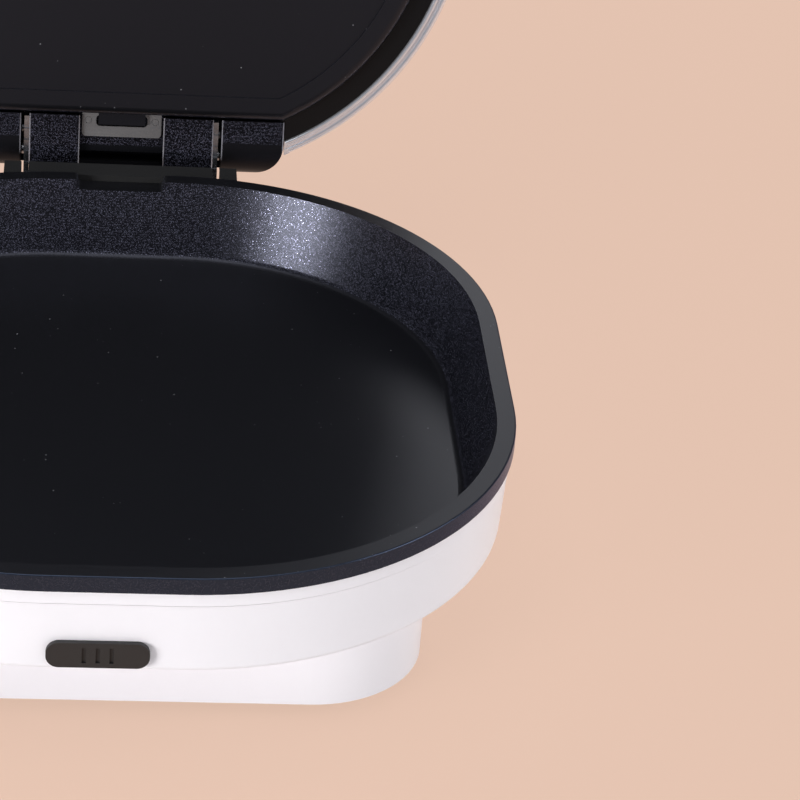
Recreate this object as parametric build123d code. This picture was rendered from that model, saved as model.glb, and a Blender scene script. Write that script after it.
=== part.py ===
from build123d import *
from math import asin, cos, degrees, radians, sin
import os

# Sizes are in millimetres. Everything is drawn about the middle of the base, with z = 0 on the
# table, +Y towards the hinge and +X to the right of somebody who stands in front.
# The lid is drawn shut and swung open about the hinge axis at the end.
# Both pan catches are drawn unlocked.

# Lower pan
half_width = 124.4
half_depth = 132.3
corner_radius = 104.2
least_straight = 4.0
rim_height = 66.0
rim_width = 6.0
rim_edge_round = 0.5
lip_height = 5.4
wall_inset = 8.2
pan_depth = 25.7
pan_wall = 2.5
pan_floor = 3.0
floor_fillet = 2.7
notch_half_width = 15.0
notch_depth = 3.4
notch_round = 1.6

# Base housing
collar_drop = 10.2
collar_inset = 0.9
collar_reach = 4.9
skirt_thickness = 1.0
skirt_depth = 4.0
housing_drop = 33.4
housing_inset = 2.4
shell_wall = 2.5
housing_round = 1.6
plinth_half_width = 96.0
plinth_half_depth = 104.0
plinth_radius = 36.0
cover_boss_radius = 6.0
cover_boss_from_edge = 8.0
cover_boss_height = 17.0
foot_height = 4.0
foot_radius = 9.0
foot_round = 0.8
foot_x = 66.0
foot_y = 76.0
cover_thickness = 2.5
vent_length = 34.0
vent_width = 5.0
vent_pitch = 12.0
vent_rows = 7
vent_x = 22.0
seam = 0.3
running_gap = 0.4

# Screws
screw_radius = 1.6
screw_fit = 0.05
head_radius = 3.2
head_height = 1.8

# Cable gland
gland_x = 34.0
gland_z = 18.0
gland_radius = 6.5
gland_flange = 1.5
gland_flange_thickness = 2.6
gland_bore = 3.6

# Catch of the lower pan
knob_half_length = 15.0
knob_half_height = 4.2
knob_thickness = 1.6
knob_groove = 0.6
knob_drop = 27.0
neck_half_length = 4.0
neck_half_height = 2.6
lower_catch_travel = 9.0
catch_plate = 1.8
catch_plate_half = 14.0
catch_plate_rise = 6.0
catch_bite = 1.5
keeper_from = 10.0
keeper_to = 17.0
keeper_length = 20.0
keeper_thickness = 1.9

# Heating
tube_radius = 3.3
tube_bend = 32.0
tube_end_x = 14.0
seat_gap = 0.3
element_half_x = 62.0
element_half_y = 62.0
element_tail = 26.0
shield_drop = 8.0
shield_thickness = 1.0
shield_rise = 5.0
shield_inset = 9.0
post_radius = 5.0
post_x = 44.0
post_y = 62.0
clip_length = 9.0
clip_width = 12.0
thermostat_radius = 9.0
sensor_radius = 5.0

# Hinge
axis_behind = 5.0
axis_drop = 14.0
opening_angle = 104.0
pin_radius = 2.5
pin_clearance = 0.06
pin_inner = 25.0
pin_head = 1.7
cheek_half_width = 33.0
leaf_thickness = 1.8
leaf_eye_radius = 5.4
leaf_height = 15.0
leaf_corner = 8.0
leaf_steps = 4
leaf_step_pitch = 4.1
leaf_step_width = 1.3
rivet_radius = 1.2
rivet_head = 2.0
ear_gap = 0.4
ear_width = 6.0
bracket_top_drop = 1.2
bracket_back = 11.5
bracket_drop = 31.0
bracket_step_drop = 12.5
bracket_screw_x = 20.0
bracket_screw_drop = 23.0
bracket_screw_boss = 4.0
block_inner = 36.0
block_outer = 58.4
block_round = 10.5
block_corner = 12.0
cheek_round = 1.5
casting_edge = 0.4
hinge_reach = 20.5
hinge_depth = 16.0
web_thickness = 4.5
flange_reach = 32.0
casting_screw_reach = 26.5
casting_screw_x = (24.0, 48.0)
bridge_recess = 4.0
bridge_reach = 7.0

# Lid
lid_inset = 3.0
lid_gap = 0.5
ring_width = 4.6
ring_height = 5.5
ring_round = 0.9
ring_groove = 0.9
ring_groove_depth = 0.7
ring_brow_round = 0.5
lid_height = 45.0
lid_draft = 6.5
lid_round = 14.0
lid_step = 0.4
liner_recess = 0.9
liner_thickness = 2.5
boss_x = 62.0
boss_y = 66.0
boss_radius = 4.5
upper_shield_height = 16.0

# Upper pan
upper_inset = 12.5
upper_rear = 22.0
upper_drop = 5.5
upper_rise = 8.5
upper_wall = 2.5
upper_floor = 3.5
upper_round = 3.0
upper_border = 8.0
tongue_half_width = 8.4
tongue_thickness = 1.7
slot_half_width = 9.2
slot_reach = 18.4
slot_length = 4.0
plate_reach = 12.6
plate_half = 14.2
plate_thickness = 1.5
plate_corner = 1.4
plate_screw_x = 12.0
plate_screw_radius = 1.15
plate_screw_head = 1.9
hook_thickness = 2.2
hook_rise = 4.9
upper_lug_half = 9.0
upper_lug_reach = 2.6
upper_lug_height = 2.9
upper_catch_half = 11.0
upper_catch_depth = 3.8
upper_catch_travel = 2.4
wing_half = 16.0

# Handle and controls
handle_half_width = 46.0
handle_reach = 37.0
handle_bar = 14.0
handle_thickness = 13.0
handle_height = 11.0
handle_round = 4.0
handle_screw_length = 13.0
panel_y = -70.0
panel_half_width = 50.0
panel_half_depth = 17.0
panel_thickness = 2.5
button_radius = 8.0
button_height = 3.4
button_travel = 2.0
button_x = 17.0
stem_radius = 5.6
stem_depth = 9.0
lamp_x = 36.0
lamp_radius = 3.0
board_half_width = 49.0
board_half_depth = 13.0
board_thickness = 1.6
board_post_x = 44.0
switch_half = 6.0
switch_height = 7.0

# Places worked out from the sizes above
rim = rim_height
part_line = rim + lid_gap
pan_radius = min(corner_radius, half_width - least_straight)
lid_radius = pan_radius
lid_half_width = half_width - lid_inset
lid_half_depth = half_depth - lid_inset
lid_top = part_line + lid_height
lid_ceiling = lid_top - shell_wall
axis_y = half_depth + axis_behind
axis_z = rim - axis_drop
pan_underside = rim - pan_depth - pan_floor
housing_floor = rim - housing_drop + shell_wall
cover_top = foot_height + cover_thickness
element_z = pan_underside - seat_gap - tube_radius
shield_top = element_z - shield_drop
post_top = shield_top - shield_thickness
ear_outer = cheek_half_width + leaf_thickness + ear_gap + ear_width
web_low = part_line + hinge_depth
upper_front = -lid_half_depth + upper_inset
upper_shield_z = part_line + upper_shield_height
upper_floor_top = part_line - upper_drop + upper_floor
upper_element_z = upper_floor_top + seat_gap + tube_radius
stem_low = lid_top - stem_depth
board_top = stem_low - button_travel - seat_gap - switch_height
catch_z = rim - knob_drop


def block(x0, x1, y0, y1, z0, z1):
    """Box between two corners."""
    size = (x1 - x0, y1 - y0, z1 - z0)
    middle = ((x0 + x1) / 2, (y0 + y1) / 2, (z0 + z1) / 2)
    return Pos(*middle) * Box(*size)


def rod(x, y, z0, z1, radius):
    """Upright cylinder from z0 to z1."""
    return Pos(x, y, (z0 + z1) / 2) * Cylinder(radius, z1 - z0)


def cross_rod(x0, x1, y, z, radius):
    """Cylinder along X from x0 to x1."""
    return Pos((x0 + x1) / 2, y, z) * Rot(0, 90, 0) * Cylinder(radius, x1 - x0)


def deep_rod(x, y0, y1, z, radius):
    """Cylinder along Y from y0 to y1."""
    return Pos(x, (y0 + y1) / 2, z) * Rot(90, 0, 0) * Cylinder(radius, y1 - y0)


def rounded(half_x, half_y, radius, z):
    """Rounded rectangle at height z."""
    return Pos(0, 0, z) * RectangleRounded(2 * half_x, 2 * half_y, radius)


def pan_outline(inset, z):
    """The lower pan's outline, drawn in by inset."""
    return rounded(half_width - inset, half_depth - inset, pan_radius - inset, z)


def plinth_outline(inset, z):
    """The plinth's outline, drawn in by inset."""
    return rounded(plinth_half_width - inset, plinth_half_depth - inset, plinth_radius - inset, z)


def lid_outline(inset, z):
    """The lid's outline, drawn in by inset."""
    return rounded(lid_half_width - inset, lid_half_depth - inset, lid_radius - inset, z)


def prism(outline, inset, z0, z1):
    """Straight walled body of an outline."""
    return extrude(outline(inset, z0), z1 - z0)


def tapered(outline, inset0, z0, inset1, z1):
    """Body whose outline draws in from one height to another."""
    return loft([outline(inset0, z0), outline(inset1, z1)], ruled=True)


def at_level(edge, z):
    """True for an edge that lies at one height."""
    box = edge.bounding_box()
    return abs(box.min.Z - z) < 1e-3 and abs(box.max.Z - z) < 1e-3


def rounded_at(body, z, radius):
    """Body with the edges at one height rounded."""
    return fillet([edge for edge in body.edges() if at_level(edge, z)], radius)


def both_sides(body):
    """A body and its mirror image across the middle."""
    return body, mirror(body, Plane.YZ)


def corner_places(x, y):
    """The four corners of a rectangle about the middle."""
    return [(sx * x, sy * y) for sx in (1, -1) for sy in (1, -1)]


def side_profile(points, x0, x1):
    """Profile of (y, z) points carried from x0 to x1."""
    outline = Plane.YZ * make_face(Polyline(*points, close=True))
    return Pos(x0, 0, 0) * extrude(outline, x1 - x0, dir=(1, 0, 0))


# Screws


def screw(radius, head, height, length):
    """Screw with its seat at z = 0, its crossed head above and its shank below."""
    cap = Pos(0, 0, height / 2) * Cylinder(head, height)
    cap = rounded_at(cap, height, height * 0.45)
    for turn in (0, 90):
        cap -= Pos(0, 0, height) * Rot(0, 0, turn) * Box(head * 1.1, head * 0.25, height * 0.9)
    return cap + Pos(0, 0, -length / 2) * Cylinder(radius, length)


def screw_up(x, y, seat, length):
    """Screw that is driven upwards, with its head under the seat."""
    return Pos(x, y, seat) * Rot(180, 0, 0) * screw(screw_radius, head_radius, head_height, length)


def screw_down(x, y, seat, length):
    """Screw that is driven downwards."""
    return Pos(x, y, seat) * screw(screw_radius, head_radius, head_height, length)


def screw_forward(x, seat, z, length):
    """Screw that is driven towards the front, with its head behind the seat."""
    return Pos(x, seat, z) * Rot(-90, 0, 0) * screw(screw_radius, head_radius, head_height, length)


def screw_hole(x, y, z0, z1):
    """Upright hole that a screw's shank fits."""
    return rod(x, y, z0, z1, screw_radius + screw_fit)


# Lower pan


def bowl_inset(z):
    """How far the pan's sloping outside lies in from its lip at one height."""
    return rim_width - pan_wall + wall_inset / pan_depth * (rim - z)


def lower_pan():
    """Deep cast pan with a flat rim, a square lip, a notch for the hinge and a catch lug."""
    floor = rim - pan_depth
    cavity = tapered(pan_outline, rim_width, rim, rim_width + wall_inset, floor)
    cavity = rounded_at(cavity, floor, floor_fillet)
    bowl = tapered(pan_outline, bowl_inset(rim), rim, bowl_inset(pan_underside), pan_underside)
    bowl = rounded_at(bowl, pan_underside, floor_fillet + pan_floor)
    lip = prism(pan_outline, 0, rim - lip_height, rim)
    lip = rounded_at(lip, rim, rim_edge_round)
    return lip + bowl - cavity - notch_cut()


def notch_cut():
    """Dip in the rear rim, rounded at its foot and at its brow."""
    low = rim - notch_depth
    brow = notch_half_width + notch_round + 0.2
    points = [
        (-brow, rim + 1),
        (brow, rim + 1),
        (brow, rim),
        (notch_half_width, rim),
        (notch_half_width, low),
        (-notch_half_width, low),
        (-notch_half_width, rim),
        (-brow, rim),
    ]
    plane = Plane(origin=(0, half_depth + 1, 0), z_dir=(0, -1, 0), x_dir=(1, 0, 0))
    profile = plane * make_face(Polyline(*points, close=True))
    corners = [v for v in profile.vertices() if abs(abs(v.X) - notch_half_width) < 0.01]
    profile = fillet(corners, min(notch_round, notch_depth * 0.48))
    return extrude(profile, rim_width + 5)


def lower_pan_keeper():
    """Steel strip under the front of the pan, which the catch's plate slides over."""
    front = catch_plate_back() - catch_bite
    low = pan_underside - keeper_thickness
    return block(keeper_from, keeper_to, front, front + keeper_length, low, pan_underside)


# Base


def housing_outer_inset(z):
    """How far the housing's outside lies in from the pan's lip at one height."""
    slope = (housing_inset - collar_inset) / (housing_drop - lip_height)
    return housing_inset - slope * (z - rim + housing_drop)


def housing_outer():
    """Outside of the housing above its plinth."""
    top = rim - collar_drop
    low = rim - housing_drop
    body = tapered(pan_outline, housing_outer_inset(top), top, housing_inset, low)
    return rounded_at(body, low, housing_round)


def housing_inner():
    """Space inside the housing and its plinth."""
    top = rim - collar_drop
    upper = tapered(
        pan_outline, housing_outer_inset(top) + shell_wall, top, housing_inset + shell_wall, housing_floor
    )
    return upper + prism(plinth_outline, shell_wall, foot_height, housing_floor + 0.5)


def cover_screw_places():
    """Where the cover's screws stand, in the plinth's four corners."""
    out = (plinth_radius - cover_boss_from_edge) * cos(radians(45))
    x = plinth_half_width - plinth_radius + out
    y = plinth_half_depth - plinth_radius + out
    return corner_places(x, y)


def base_shell():
    """Moulded housing that narrows to a plinth, with bosses for the cover and the hinge."""
    plinth = prism(plinth_outline, 0, foot_height, rim - housing_drop + 0.5)
    shell = housing_outer() + plinth - housing_inner()
    for x, y in cover_screw_places():
        boss = rod(x, y, cover_top, cover_top + cover_boss_height, cover_boss_radius)
        shell += boss & plinth
        shell -= screw_hole(x, y, cover_top, cover_top + 14)
    wall = half_depth - housing_inset - shell_wall
    z = rim - bracket_screw_drop
    for x in (-bracket_screw_x, bracket_screw_x):
        shell += deep_rod(x, wall - 3.4, wall + 1, z, bracket_screw_boss)
        shell -= deep_rod(x, wall - 5, half_depth, z, screw_radius + screw_fit)
    shell -= deep_rod(gland_x, plinth_half_depth - 8, plinth_half_depth + 4, gland_z, gland_radius)
    return shell - knob_slot()


def base_collar():
    """Ring between the housing and the pan's lip, with a skirt that sits inside the housing."""
    top = rim - lip_height - seam
    low = rim - collar_drop + seam
    skirt_outer = collar_reach - skirt_thickness
    ring = prism(pan_outline, collar_inset, low, top)
    ring += prism(pan_outline, skirt_outer, low - skirt_depth, low)
    return ring - prism(pan_outline, collar_reach, low - skirt_depth, top)


def bottom_cover():
    """Plate that closes the plinth, with vents, four screw seats and four posts."""
    plate = prism(plinth_outline, shell_wall + seam, foot_height, cover_top)
    slot = SlotOverall(vent_length, vent_width)
    first = -(vent_rows - 1) / 2
    for row in range(vent_rows):
        for x in (-vent_x, vent_x):
            plate -= Pos(x, (first + row) * vent_pitch, foot_height) * extrude(slot, cover_thickness)
    for x, y in cover_screw_places():
        plate -= screw_hole(x, y, foot_height, cover_top)
    for x, y in corner_places(post_x, post_y):
        plate += rod(x, y, cover_top, post_top, post_radius)
        plate -= screw_hole(x, y, post_top - 10, post_top)
    return plate


def cover_screws():
    """Four screws through the cover into the plinth's bosses."""
    return [screw_up(x, y, foot_height, 12) for x, y in cover_screw_places()]


def foot(x, y):
    """Rubber foot, a little narrower at the table."""
    return rounded_at(rod(x, y, 0, foot_height, foot_radius), 0, foot_round)


def terminal_block():
    """Two-way terminal block on the cover."""
    body = block(-14, 14, 50, 60, cover_top, cover_top + 9)
    for x in (-7, 7):
        body -= rod(x, 55, cover_top + 4, cover_top + 9, 2.2)
    return body


def cord_gland():
    """Rubber bush with a flange on both sides of the plinth's wall."""
    outside = plinth_half_depth
    inside = plinth_half_depth - shell_wall
    lip = gland_radius + gland_flange
    body = deep_rod(gland_x, inside - 1, outside + 1, gland_z, gland_radius - screw_fit)
    body += deep_rod(gland_x, outside + 0.1, outside + gland_flange_thickness, gland_z, lip)
    body += deep_rod(gland_x, inside - gland_flange_thickness, inside - 0.1, gland_z, lip)
    return body - deep_rod(gland_x, inside - 8, outside + 8, gland_z, gland_bore)


# Catch of the lower pan


def wall_front():
    """Y of the housing's front face at the knob."""
    return -half_depth + housing_outer_inset(catch_z)


def catch_plate_back():
    """Y of the inner face of the catch's plate."""
    return -half_depth + housing_outer_inset(catch_z) + shell_wall + running_gap + 0.2 + catch_plate


def knob_slot():
    """Slot in the housing's front wall for the neck of the catch."""
    half = lower_catch_travel / 2 + neck_half_length + running_gap
    tall = neck_half_height + running_gap
    front = wall_front()
    return block(-half, half, front - 5, front + shell_wall + 2, catch_z - tall, catch_z + tall)


def lower_pan_catch():
    """Sliding knob on the front, with a plate behind the wall that locks the keeper down."""
    middle = -lower_catch_travel / 2
    back = wall_front() - running_gap
    front = back - knob_thickness
    outline = Plane(origin=(middle, front, catch_z), z_dir=(0, 1, 0), x_dir=(1, 0, 0))
    shape = outline * RectangleRounded(2 * knob_half_length, 2 * knob_half_height, knob_half_height - 0.4)
    knob = extrude(shape, knob_thickness)
    for x in (-4, 0, 4):
        groove = block(x - 0.6, x + 0.6, front - 1, front + knob_groove, catch_z - 2.6, catch_z + 2.6)
        knob -= Pos(middle, 0, 0) * groove
    plate_back = catch_plate_back()
    plate_front = plate_back - catch_plate
    neck = block(
        middle - neck_half_length,
        middle + neck_half_length,
        back,
        plate_front,
        catch_z - neck_half_height,
        catch_z + neck_half_height,
    )
    plate = block(
        middle - catch_plate_half,
        middle + catch_plate_half,
        plate_front,
        plate_back,
        pan_underside + running_gap,
        catch_z + catch_plate_rise,
    )
    return knob + neck + plate


# Heating


def heating_element(back, z):
    """One bent tube with its two ends side by side at the back."""
    path = FilletPolyline(
        (-tube_end_x, back, z),
        (-tube_end_x, element_half_y, z),
        (-element_half_x, element_half_y, z),
        (-element_half_x, -element_half_y, z),
        (element_half_x, -element_half_y, z),
        (element_half_x, element_half_y, z),
        (tube_end_x, element_half_y, z),
        (tube_end_x, back, z),
        radius=[12, tube_bend, tube_bend, tube_bend, tube_bend, 12],
    )
    start = Plane(origin=(-tube_end_x, back, z), z_dir=(0, -1, 0))
    return sweep(start * Circle(tube_radius), path=path)


def element_clip(x, y, shield, z, turn):
    """Saddle that grips the tube and stands on the heat shield."""
    grip = tube_radius * 0.6
    low = min(shield, z - grip)
    high = max(shield, z + grip)
    body = Pos(x, y, (low + high) / 2) * Rot(0, 0, turn) * Box(clip_length, clip_width, high - low)
    bore = Pos(x, y, z) * Rot(0, 0, turn) * Rot(0, 90, 0) * Cylinder(tube_radius, 2 * clip_length)
    return body - bore


def element_clips(shield, z):
    """Three clips, one on each straight run."""
    places = ((0, -element_half_y, 0), (-element_half_x, 0, 90), (element_half_x, 0, 90))
    return [element_clip(x, y, shield, z, turn) for x, y, turn in places]


def lower_reflector():
    """Dished heat shield under the element."""
    plate = prism(plinth_outline, shield_inset, post_top, post_top + shield_rise)
    plate -= prism(plinth_outline, shield_inset + shield_thickness, shield_top, post_top + shield_rise)
    for x, y in corner_places(post_x, post_y):
        plate -= screw_hole(x, y, post_top, shield_top)
    return plate


def lower_reflector_screws():
    """Four screws through the heat shield into the cover's posts."""
    return [screw_down(x, y, shield_top, 8) for x, y in corner_places(post_x, post_y)]


def thermostat(z0, z1):
    """Round thermostat with a sensing cap that reaches the pan."""
    middle = z0 + (z1 - z0) * 0.6
    return rod(0, 0, z0, middle, thermostat_radius) + rod(0, 0, middle, z1, sensor_radius)


# Hinge on the base


def leaf_drop():
    """How far under the axis the open leaf's underside lies at the bracket's back."""
    lean = radians(opening_angle - 90)
    reach = bracket_back - axis_behind
    return (leaf_eye_radius + reach * sin(lean)) / cos(lean)


def hinge_bracket():
    """Cast bracket on the back wall that carries the two hinge pins."""
    top = rim - bracket_top_drop
    back = half_depth + bracket_back
    front = half_depth + running_gap
    low = rim - bracket_drop
    step = rim - bracket_step_drop
    inside = half_depth - 8
    points = [
        (inside, low),
        (back - 4, low),
        (back, low + 5),
        (back, top - 1.5),
        (back - 1.5, top),
        (front, top),
        (front, step),
        (inside, step),
    ]
    body = side_profile(points, -ear_outer, ear_outer) - housing_outer()
    slot_low = axis_z - leaf_drop() - running_gap
    left = cheek_half_width - ear_gap
    right = cheek_half_width + leaf_thickness + ear_gap
    slot = block(left, right, half_depth - 10, back + 1, slot_low, rim)
    bore = cross_rod(pin_inner - 1, ear_outer + 1, axis_y, axis_z, pin_radius)
    for cut in both_sides(slot) + both_sides(bore):
        body -= cut
    z = rim - bracket_screw_drop
    for x in (-bracket_screw_x, bracket_screw_x):
        body -= deep_rod(x, inside - 1, back, z, screw_radius + screw_fit)
        body -= deep_rod(x, back - 3, back + 1, z, head_radius + running_gap)
    return body


def hinge_bracket_screws():
    """Two screws through the bracket into the back wall's bosses."""
    seat = half_depth + bracket_back - 3
    z = rim - bracket_screw_drop
    return [screw_forward(x, seat, z, 16) for x in (-bracket_screw_x, bracket_screw_x)]


def hinge_pin(side):
    """Headed pin through both ears and the leaf."""
    body = cross_rod(pin_inner, ear_outer, axis_y, axis_z, pin_radius)
    pin = body + cross_rod(ear_outer, ear_outer + 1.6, axis_y, axis_z, pin_radius + pin_head)
    return pin if side > 0 else mirror(pin, Plane.YZ)


# Hinge on the lid


def along(reach):
    """Y of a point that lies this far in from the lid's rear edge."""
    return lid_half_depth - reach


def rivet_places():
    """Y and z of the rivets through each leaf."""
    return [(along(reach), part_line + 9.5) for reach in (6.0, 14.0)]


def hinge_leaf(side):
    """Stamped arm from the pin up into the lid, with a stepped front edge."""
    inner = cheek_half_width
    outer = cheek_half_width + leaf_thickness
    foot_z = part_line + 0.5
    top_z = foot_z + leaf_height
    arm_back = axis_y + leaf_eye_radius
    eye = cross_rod(inner, outer, axis_y, axis_z, leaf_eye_radius)
    arm = block(inner, outer, axis_y - leaf_eye_radius, arm_back, axis_z, top_z)
    bar = block(inner, outer, along(hinge_reach - 1), axis_y, foot_z, top_z)
    plate = eye + arm + bar
    edges = plate.edges().filter_by(Axis.X)
    corner = [e for e in edges if e.center().Z > top_z - 0.01 and e.center().Y > arm_back - 0.01]
    plate = fillet(corner, leaf_corner)
    for number in range(leaf_steps):
        y = along(2.6 + leaf_step_pitch * number)
        plate -= block(inner - 1, outer + 1, y - leaf_step_width, y, foot_z - 1, foot_z + 1.0)
    plate -= cross_rod(inner - 1, outer + 1, axis_y, axis_z, pin_radius + pin_clearance)
    for y, z in rivet_places():
        plate -= cross_rod(inner - 1, outer + 1, y, z, rivet_radius + screw_fit)
    return plate if side > 0 else mirror(plate, Plane.YZ)


def leaf_rivets():
    """Rivets that fasten each leaf to its cheek."""
    outer = cheek_half_width + leaf_thickness
    group = []
    for y, z in rivet_places():
        rivet = cross_rod(cheek_half_width - 5, outer, y, z, rivet_radius)
        rivet += cross_rod(outer, outer + 0.9, y, z, rivet_head)
        group += both_sides(rivet)
    return group


def lower_rear_edge(body, back):
    """The long edge at the bottom of a body's back face."""
    edges = body.edges().filter_by(Axis.X)
    return [e for e in edges if e.center().Z < part_line + 0.01 and e.center().Y > back - 0.01]


def lower_long_edges(body):
    """The edges at the bottom of a body that run front to back."""
    return [e for e in body.edges().filter_by(Axis.Y) if e.center().Z < part_line + 0.01]


def rear_upright_edges(body):
    """The upright edges of a body's back face."""
    return [e for e in body.edges().filter_by(Axis.Z) if e.center().Y > lid_half_depth - 0.01]


def casting_block():
    """Outer block with its underside rounded off towards the back."""
    body = block(block_inner, block_outer, along(hinge_reach), lid_half_depth, part_line, web_low)
    body = fillet(lower_rear_edge(body, lid_half_depth), block_round)
    body = chamfer(lower_long_edges(body), casting_edge)
    keep = block(-block_outer, block_outer, along(hinge_reach), lid_half_depth, part_line, web_low)
    return body & fillet(rear_upright_edges(keep), block_corner)


def casting_cheek():
    """Cheek beside the notch, which the leaf is riveted to."""
    back = along(1.25)
    cheek = block(notch_half_width, cheek_half_width, along(hinge_reach), back, part_line, web_low)
    cheek = fillet(lower_rear_edge(cheek, back), cheek_round)
    cheek = chamfer(lower_long_edges(cheek), casting_edge)
    for y, z in rivet_places():
        cheek -= cross_rod(cheek_half_width - 6, cheek_half_width + 1, y, z, rivet_radius + screw_fit)
    return cheek


def hinge_casting():
    """Coated casting with two cheeks, two outer blocks, a recessed bridge and a flange."""
    top = web_low + web_thickness
    body = block(-block_outer, block_outer, along(flange_reach), lid_half_depth, web_low, top)
    body = fillet(rear_upright_edges(body), block_corner)
    for half in both_sides(casting_cheek()) + both_sides(casting_block()):
        body += half
    bridge_low = part_line + bridge_recess
    half = notch_half_width
    body += block(-half, half, along(hinge_reach), along(bridge_reach), bridge_low, web_low)
    body += block(-half, half, along(3.8), along(1.25), part_line + 2.5, web_low)
    tongue_room = slot_half_width
    slot_back = along(slot_reach - slot_length / 2)
    slot_front = along(slot_reach + slot_length / 2)
    body -= block(-tongue_room, tongue_room, slot_front, slot_back, part_line + 3, part_line + 9)
    for x in (-plate_screw_x, plate_screw_x):
        body -= rod(x, along(slot_reach), part_line + 3, top + 1, plate_screw_radius + screw_fit)
    for x, y in casting_screw_places():
        body -= screw_hole(x, y, web_low, top)
    return body


def casting_screw_places():
    """Where the casting is screwed to the lid."""
    y = along(casting_screw_reach)
    return [(side * x, y) for side in (1, -1) for x in casting_screw_x]


def hinge_casting_screws():
    """Four screws through the casting's flange into the lid's posts."""
    return [screw_up(x, y, web_low, 13) for x, y in casting_screw_places()]


def rear_catch_bracket():
    """Steel plate on the bridge whose slot takes the upper pan's hook."""
    high = part_line + bridge_recess
    low = high - plate_thickness
    plate = block(-plate_half, plate_half, along(hinge_reach + 0.9), along(plate_reach), low, high)
    corners = [e for e in plate.edges().filter_by(Axis.Z) if e.center().Y > along(plate_reach + 0.5)]
    plate = fillet(corners, plate_corner)
    slot = Pos(0, along(slot_reach), low) * RectangleRounded(2 * slot_half_width, slot_length, plate_corner)
    plate -= extrude(slot, plate_thickness)
    for x in (-plate_screw_x, plate_screw_x):
        plate -= rod(x, along(slot_reach), low, high, plate_screw_radius + 2 * screw_fit)
    return plate


def catch_bracket_screws():
    """Two small screws through the casting from behind, which hold the catch bracket."""
    seat = web_low + web_thickness
    length = seat - part_line - bridge_recess + plate_thickness
    small = screw(plate_screw_radius, plate_screw_head, 0.9, length)
    return [Pos(x, along(slot_reach), seat) * small for x in (-plate_screw_x, plate_screw_x)]


# Lid


def hinge_clearance(top):
    """Space in the lid's parts that the hinge casting fills."""
    half = block_outer + seam
    return block(-half, half, along(hinge_reach + seam), half_depth + 20, rim - 20, top)


def ring_profile(rounded_off):
    """Section of the trim ring, with two beads and a groove at its foot."""
    half = ring_width / 2
    groove = ring_groove / 2
    points = [
        (-half, ring_height),
        (half, ring_height),
        (half, 0),
        (groove, 0),
        (groove, ring_groove_depth),
        (-groove, ring_groove_depth),
        (-groove, 0),
        (-half, 0),
    ]
    face = make_face(Polyline(*points, close=True))
    if not rounded_off:
        return face
    outer = [v for v in face.vertices() if v.Y < 0.01 and abs(v.X) > half - 0.01]
    face = fillet(outer, ring_round)
    brows = [v for v in face.vertices() if v.Y < 0.01 and abs(v.X) < groove + 0.01]
    return fillet(brows, ring_brow_round)


def ring_bend(face, start, angle):
    """The ring's section turned about the upright axis through one corner's centre."""
    plane = Plane(origin=(lid_radius - ring_width / 2, 0, 0), x_dir=(1, 0, 0), z_dir=(0, -1, 0))
    return Rot(0, 0, start) * revolve(plane * face, axis=Axis.Z, revolution_arc=angle)


def lid_trim_ring():
    """Plated ring round the lid's mouth, with square ends beside the hinge casting."""
    face = ring_profile(True)
    corner_x = lid_half_width - lid_radius
    corner_y = lid_half_depth - lid_radius
    middle = lid_radius - ring_width / 2
    gap_angle = degrees(asin((block_outer + seam - corner_x) / (lid_radius - ring_width))) + 0.1
    end = ring_bend(ring_profile(False), 90 - gap_angle, 3)
    half = Pos(corner_x, corner_y, part_line) * end - hinge_clearance(part_line + ring_height + 1)
    half += Pos(corner_x, corner_y, part_line) * ring_bend(face, 0, 90 - gap_angle)
    half += Pos(corner_x, -corner_y, part_line) * ring_bend(face, -90, 90)
    side = Plane(origin=(corner_x + middle, -corner_y, part_line), x_dir=(1, 0, 0), z_dir=(0, -1, 0))
    half += extrude(side * face, 2 * corner_y, dir=(0, 1, 0))
    front = Plane(origin=(0, -corner_y - middle, part_line), x_dir=(0, 1, 0), z_dir=(1, 0, 0))
    half += extrude(front * mirror(face, Plane.YZ), corner_x, dir=(1, 0, 0))
    return half + mirror(half, Plane.YZ)


def lid_outer():
    """Outside of the lid's dome."""
    body = tapered(lid_outline, lid_step, part_line + ring_height, lid_draft, lid_top)
    return rounded_at(body, lid_top, lid_round)


def lid_posts():
    """Posts under the lid's top, with their holes: foot height, radius and places."""
    posts = [(x, y, upper_shield_z + shield_thickness) for x, y in corner_places(boss_x, boss_y)]
    posts += [(x, y, web_low + web_thickness) for x, y in casting_screw_places()]
    posts += [(x, panel_y, board_top) for x in (-board_post_x, board_post_x)]
    return posts


def lid_shell():
    """Domed cover with posts for the heat shield, the hinge casting and the switch board."""
    low = part_line + ring_height
    inner = tapered(lid_outline, lid_step + shell_wall, low, lid_draft + shell_wall, lid_ceiling)
    inner = rounded_at(inner, lid_ceiling, lid_round - shell_wall)
    dome = lid_outer()
    shell = dome - inner
    for x, y, foot_z in lid_posts():
        shell += rod(x, y, foot_z, lid_ceiling + 1, boss_radius) & dome
        shell -= screw_hole(x, y, foot_z, foot_z + 12)
    shell -= hinge_clearance(web_low + web_thickness + seam)
    for hole in control_holes() + handle_holes():
        shell -= hole
    return shell


def lid_liner():
    """Gloss ring between the trim and the upper pan."""
    low = part_line + liner_recess
    high = low + liner_thickness
    ring = prism(lid_outline, ring_width + 0.15, low, high)
    ring -= prism(lid_outline, upper_inset - 0.7, low, high)
    front = -lid_half_depth + ring_width + 0.6
    half = upper_catch_half + running_gap
    catch_room = block(-half, half, front, upper_front + 2, low - 1, high + 1)
    return ring - hinge_clearance(high + 1) - catch_room


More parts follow.
